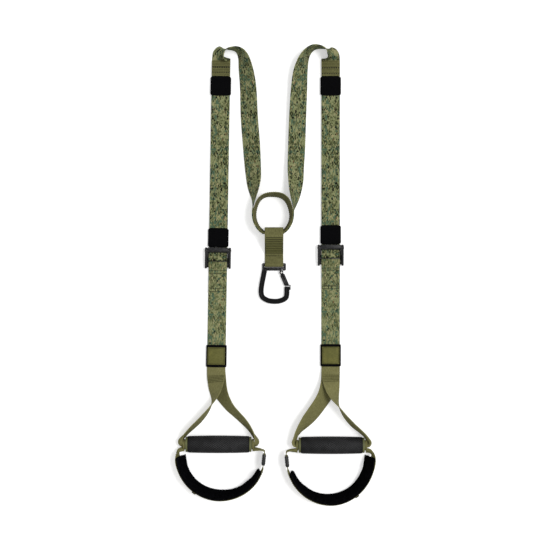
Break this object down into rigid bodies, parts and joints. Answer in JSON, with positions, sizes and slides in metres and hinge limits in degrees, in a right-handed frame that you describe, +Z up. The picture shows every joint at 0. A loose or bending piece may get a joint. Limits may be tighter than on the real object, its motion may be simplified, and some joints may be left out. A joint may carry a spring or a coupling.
{
  "type": "suspension trainer",
  "caption": "Webbing suspension trainer laid flat: adjustable arms with cam buckles, rubber grips and padded foot cradles, joined at a carabiner.",
  "frame": {"origin": "middle of the bounding box, on the surface it lies on", "axes": "+Y up the arms, from the foot cradles to the top bends; +X across, to the viewer's right; +Z up from the surface"},
  "size_m": [0.4089, 0.9437, 0.0425],
  "materials": {
    "olive_webbing": "woven",
    "patterned_webbing": "woven, printed pattern",
    "black_elastic": "woven elastic",
    "black_coated_metal": "satin",
    "black_gate_metal": "satin",
    "bright_steel": "plain",
    "black_rubber": "textured",
    "dark_plastic": "smooth",
    "olive_plastic": "smooth",
    "black_pile": "pile"
  },
  "bodies": {
    "webbing": {"equalizer_loop": "olive_webbing", "anchor_loop": "olive_webbing", "left_main_strap": "patterned_webbing", "right_main_strap": "patterned_webbing", "left_main_run": "patterned_webbing", "right_main_run": "patterned_webbing"},
    "carabiner": {"carabiner_body": "black_coated_metal", "carabiner_gate_rivet": "bright_steel", "carabiner_gate_plunger": "bright_steel", "carabiner_gate_spring": "bright_steel"},
    "gate": {"carabiner_gate": "black_gate_metal"},
    "left_arm": {"left_return_run": "patterned_webbing", "left_buckle_turn": "patterned_webbing", "left_buckle_frame": "black_coated_metal", "left_cam_pin": "bright_steel", "left_cam_spring": "bright_steel", "left_lower_strap": "patterned_webbing", "left_label_sleeve": "black_elastic", "left_label_patch": "olive_webbing", "left_handle_strap": "olive_webbing"},
    "left_tab": {"left_adjust_tab": "olive_webbing", "left_upper_keeper": "black_elastic"},
    "left_band": {"left_lower_keeper": "black_elastic"},
    "left_cam": {"left_cam_lever": "black_coated_metal"},
    "left_grip": {"left_grip_sleeve": "black_rubber", "left_grip_tube": "dark_plastic", "left_grip_cap_outer": "olive_plastic", "left_grip_cap_inner": "olive_plastic"},
    "left_foot": {"left_foot_strap": "olive_webbing", "left_foot_pad": "black_pile", "left_foot_keeper": "black_elastic"},
    "left_slide": {"left_foot_slider": "dark_plastic"},
    "right_arm": {"right_return_run": "patterned_webbing", "right_buckle_turn": "patterned_webbing", "right_buckle_frame": "black_coated_metal", "right_cam_pin": "bright_steel", "right_cam_spring": "bright_steel", "right_lower_strap": "patterned_webbing", "right_label_sleeve": "black_elastic", "right_label_patch": "olive_webbing", "right_handle_strap": "olive_webbing"},
    "right_tab": {"right_adjust_tab": "olive_webbing", "right_upper_keeper": "black_elastic"},
    "right_band": {"right_lower_keeper": "black_elastic"},
    "right_cam": {"right_cam_lever": "black_coated_metal"},
    "right_grip": {"right_grip_sleeve": "black_rubber", "right_grip_tube": "dark_plastic", "right_grip_cap_outer": "olive_plastic", "right_grip_cap_inner": "olive_plastic"},
    "right_foot": {"right_foot_strap": "olive_webbing", "right_foot_pad": "black_pile", "right_foot_keeper": "black_elastic"},
    "right_slide": {"right_foot_slider": "dark_plastic"}
  },
  "joints": [
    {"name": "carabiner_swing", "type": "hinge", "parent": "webbing", "child": "carabiner", "pos_m": [-0.003, 0.02, 0.0051], "axis": [-1, 0, 0], "range_deg": [0, 110]},
    {"name": "gate_opening", "type": "hinge", "parent": "carabiner", "child": "gate", "pos_m": [0.01204, 0.0035, 0.0051], "axis": [0, 0, -1], "range_deg": [0, 25], "stiffness_Nm_per_rad": 0.06, "springref_deg": -17.19, "deforming": ["carabiner_gate_spring"]},
    {"name": "left_length", "type": "slide", "parent": "webbing", "child": "left_arm", "axis": [-0.0162, -0.9999, 0], "range_m": [0, 0.22], "deforming": ["left_main_run"]},
    {"name": "left_tab_travel", "type": "slide", "parent": "left_arm", "child": "left_tab", "axis": [-0.0162, -0.9999, 0], "range_m": [0, 0.22], "deforming": ["left_return_run"]},
    {"name": "left_band_travel", "type": "slide", "parent": "left_arm", "child": "left_band", "axis": [0.0162, 0.9999, 0], "range_m": [0, 0.04]},
    {"name": "left_cam_release", "type": "hinge", "parent": "left_arm", "child": "left_cam", "pos_m": [-0.1181, 0.0486, 0.011], "axis": [-0.9999, 0.0162, 0], "range_deg": [0, 25], "stiffness_Nm_per_rad": 0.1, "springref_deg": -17.19, "deforming": ["left_cam_spring"]},
    {"name": "left_grip_turn", "type": "hinge", "parent": "left_arm", "child": "left_grip", "pos_m": [-0.11654, -0.34808, 0.0176], "axis": [1, 0, 0], "continuous": true},
    {"name": "left_foot_swing", "type": "hinge", "parent": "left_arm", "child": "left_foot", "pos_m": [-0.11654, -0.34808, 0.0176], "axis": [-1, 0, 0], "range_deg": [0, 75]},
    {"name": "left_slider_travel", "type": "slide", "parent": "left_foot", "child": "left_slide", "axis": [0.1045, 0.9945, 0], "range_m": [-0.005, 0.004]},
    {"name": "right_length", "type": "slide", "parent": "webbing", "child": "right_arm", "axis": [0, -1, 0], "range_m": [0, 0.22], "deforming": ["right_main_run"]},
    {"name": "right_tab_travel", "type": "slide", "parent": "right_arm", "child": "right_tab", "axis": [0, -1, 0], "range_m": [0, 0.22], "deforming": ["right_return_run"]},
    {"name": "right_band_travel", "type": "slide", "parent": "right_arm", "child": "right_band", "axis": [0, 1, 0], "range_m": [0, 0.04]},
    {"name": "right_cam_release", "type": "hinge", "parent": "right_arm", "child": "right_cam", "pos_m": [0.1134, 0.0546, 0.011], "axis": [-1, 0, 0], "range_deg": [0, 25], "stiffness_Nm_per_rad": 0.1, "springref_deg": -17.19, "deforming": ["right_cam_spring"]},
    {"name": "right_grip_turn", "type": "hinge", "parent": "right_arm", "child": "right_grip", "pos_m": [0.1149, -0.35, 0.0176], "axis": [1, 0, 0], "continuous": true},
    {"name": "right_foot_swing", "type": "hinge", "parent": "right_arm", "child": "right_foot", "pos_m": [0.1149, -0.35, 0.0176], "axis": [-1, 0, 0], "range_deg": [0, 75]},
    {"name": "right_slider_travel", "type": "slide", "parent": "right_foot", "child": "right_slide", "axis": [-0.1045, 0.9945, 0], "range_m": [-0.005, 0.004]}
  ],
  "couplings": [
    {"joint": "left_tab_travel", "follows": "left_length", "ratio": 1},
    {"joint": "right_tab_travel", "follows": "right_length", "ratio": 1}
  ]
}
